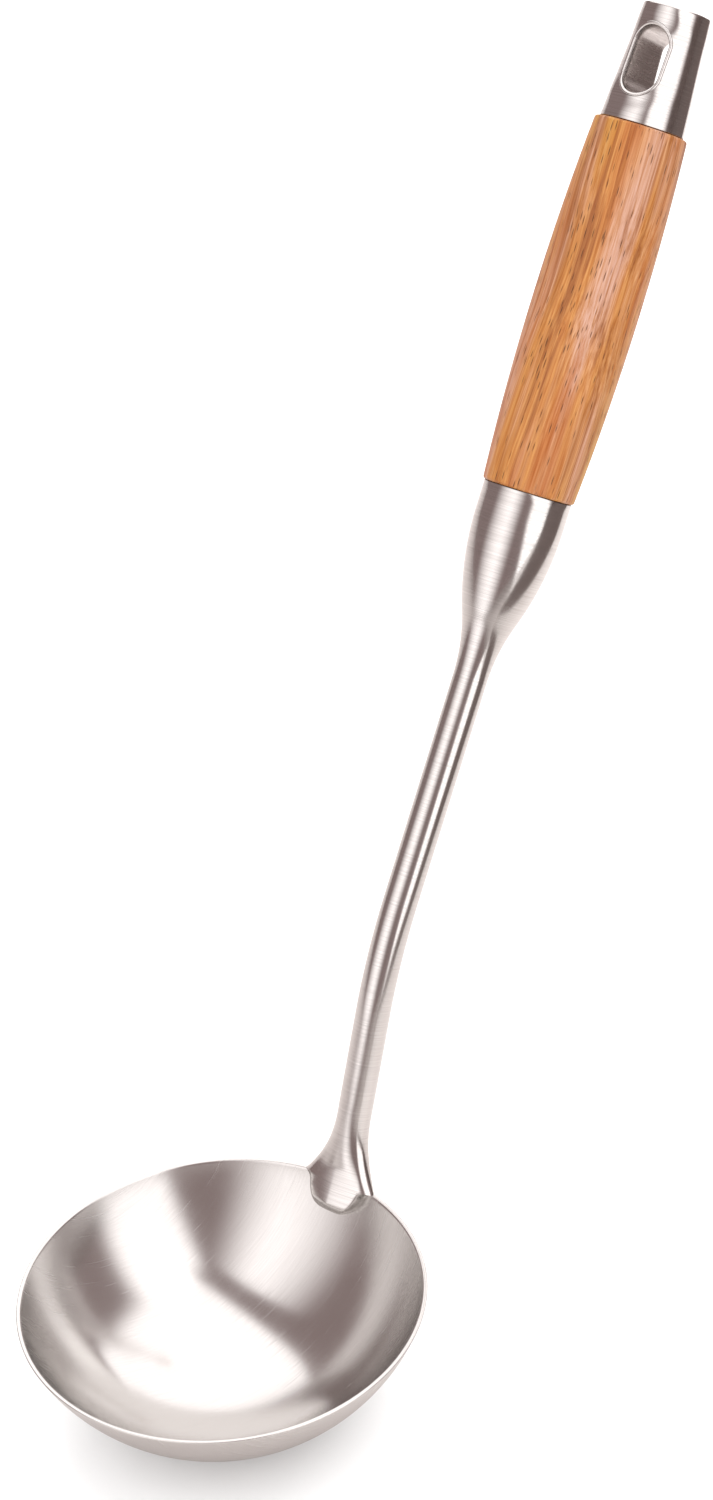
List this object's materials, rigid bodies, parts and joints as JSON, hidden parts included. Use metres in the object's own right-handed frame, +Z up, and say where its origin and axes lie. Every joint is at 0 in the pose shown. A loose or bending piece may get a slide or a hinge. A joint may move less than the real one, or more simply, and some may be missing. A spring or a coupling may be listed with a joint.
{
  "type": "soup ladle",
  "caption": "Steel soup ladle: round bowl on a bent tubular shank, turned wooden grip and a tapered end cap with a walled hanging slot.",
  "frame": {"origin": "centre of the small flat under the bowl, which is the lowest point when the bowl stands level", "axes": "+Z up, square to the bowl's lip; +X from the bowl's centre towards the handle, whose axis lies in the plane Y = 0; +Y to the side"},
  "size_m": [0.2976, 0.1098, 0.315],
  "materials": {
    "brushed_bowl_steel": "satin brushed",
    "brushed_handle_steel": "fine brushed round the axis",
    "inner_steel": "mill finish",
    "oiled_hardwood": "oiled, satin"
  },
  "bodies": {
    "root": {"bowl": "brushed_bowl_steel", "shank": "brushed_handle_steel", "ferrule_plate": "inner_steel", "tang_rod": "inner_steel", "wood_grip": "oiled_hardwood", "end_cap": "brushed_handle_steel", "cap_end_disc": "brushed_handle_steel", "hang_sleeve": "brushed_handle_steel", "cap_plate": "inner_steel", "cap_nut": "inner_steel"}
  },
  "joints": []
}
